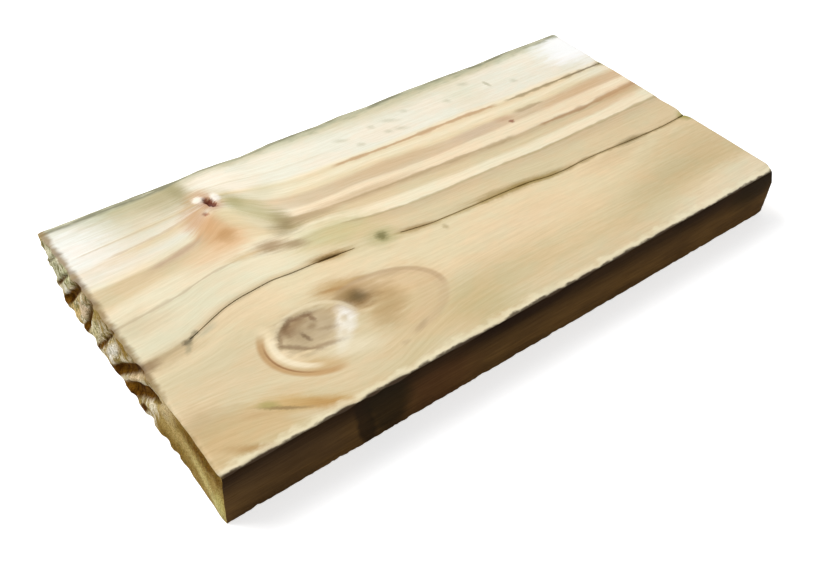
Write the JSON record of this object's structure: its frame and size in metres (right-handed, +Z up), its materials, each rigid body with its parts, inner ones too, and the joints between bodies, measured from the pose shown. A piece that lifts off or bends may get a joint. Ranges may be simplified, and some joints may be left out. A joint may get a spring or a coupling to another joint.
{
  "type": "timber lumber plank",
  "caption": "Short offcut of sawn softwood board with knots, a long drying check, a waney back edge, a torn end and a sawn end.",
  "frame": {"origin": "centre of the bounding box, on the underside that the board rests on", "axes": "+X along the grain, from the torn end to the sawn end; +Y from the dark front edge to the waney back edge; +Z up through the thickness"},
  "size_m": [0.279, 0.1396, 0.0254],
  "materials": {
    "wood": "sawn and weathered, dark on the front edge"
  },
  "bodies": {
    "root": {"plank": "wood"}
  },
  "joints": []
}
